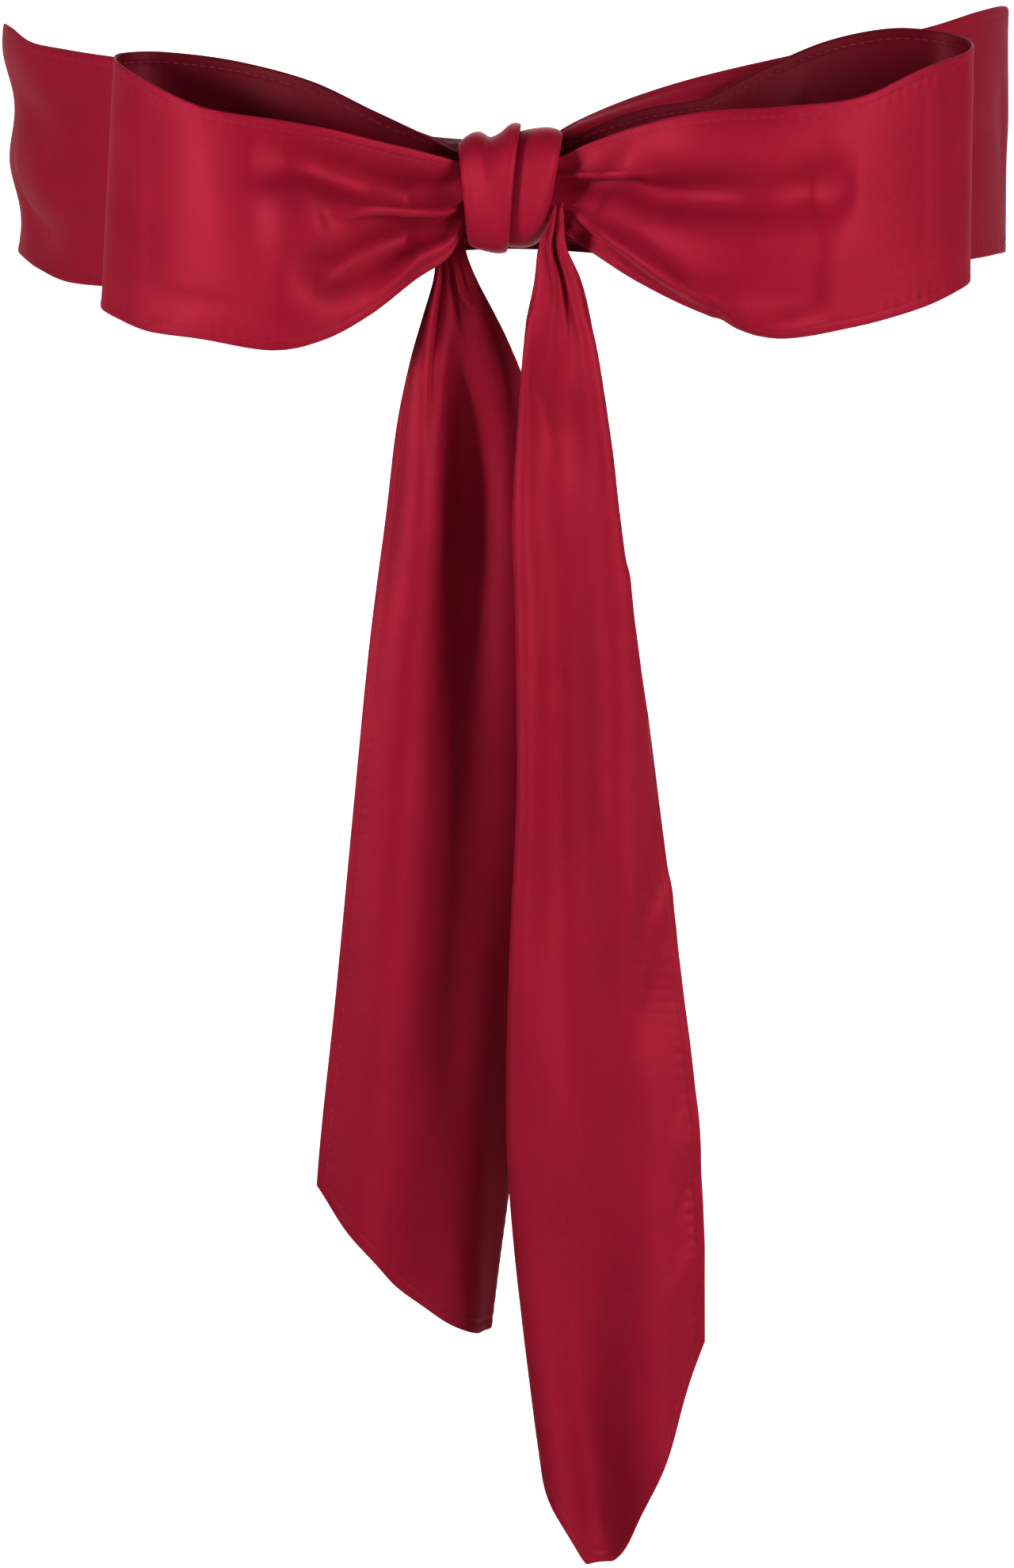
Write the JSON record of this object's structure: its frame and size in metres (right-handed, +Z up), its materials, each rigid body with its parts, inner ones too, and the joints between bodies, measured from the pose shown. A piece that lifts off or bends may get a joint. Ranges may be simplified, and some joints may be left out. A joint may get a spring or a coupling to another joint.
{
  "type": "satin sash",
  "caption": "Satin waist sash worn and tied in a front bow, with open loops, a wrapped knot and hanging blunt-pointed tails.",
  "frame": {"origin": "centre of the waist opening, where the wearer holds the sash", "axes": "+Z up along the waist and the hanging tails, -Y to the front where the bow is, +X to the right of the front view"},
  "size_m": [0.3322, 0.3006, 0.4903],
  "materials": {
    "satin_band": "dark red satin, soft sheen",
    "satin_loops": "deep red satin, soft sheen",
    "satin_knot": "deep red satin, soft sheen",
    "satin_tails": "deep red satin with a faint violet cast, soft sheen"
  },
  "bodies": {
    "root": {"waist_band": "satin_band", "loop_left": "satin_loops", "loop_right": "satin_loops", "knot_wrap": "satin_knot", "knot_core": "satin_loops", "tail_left": "satin_tails", "tail_right": "satin_tails"}
  },
  "joints": []
}
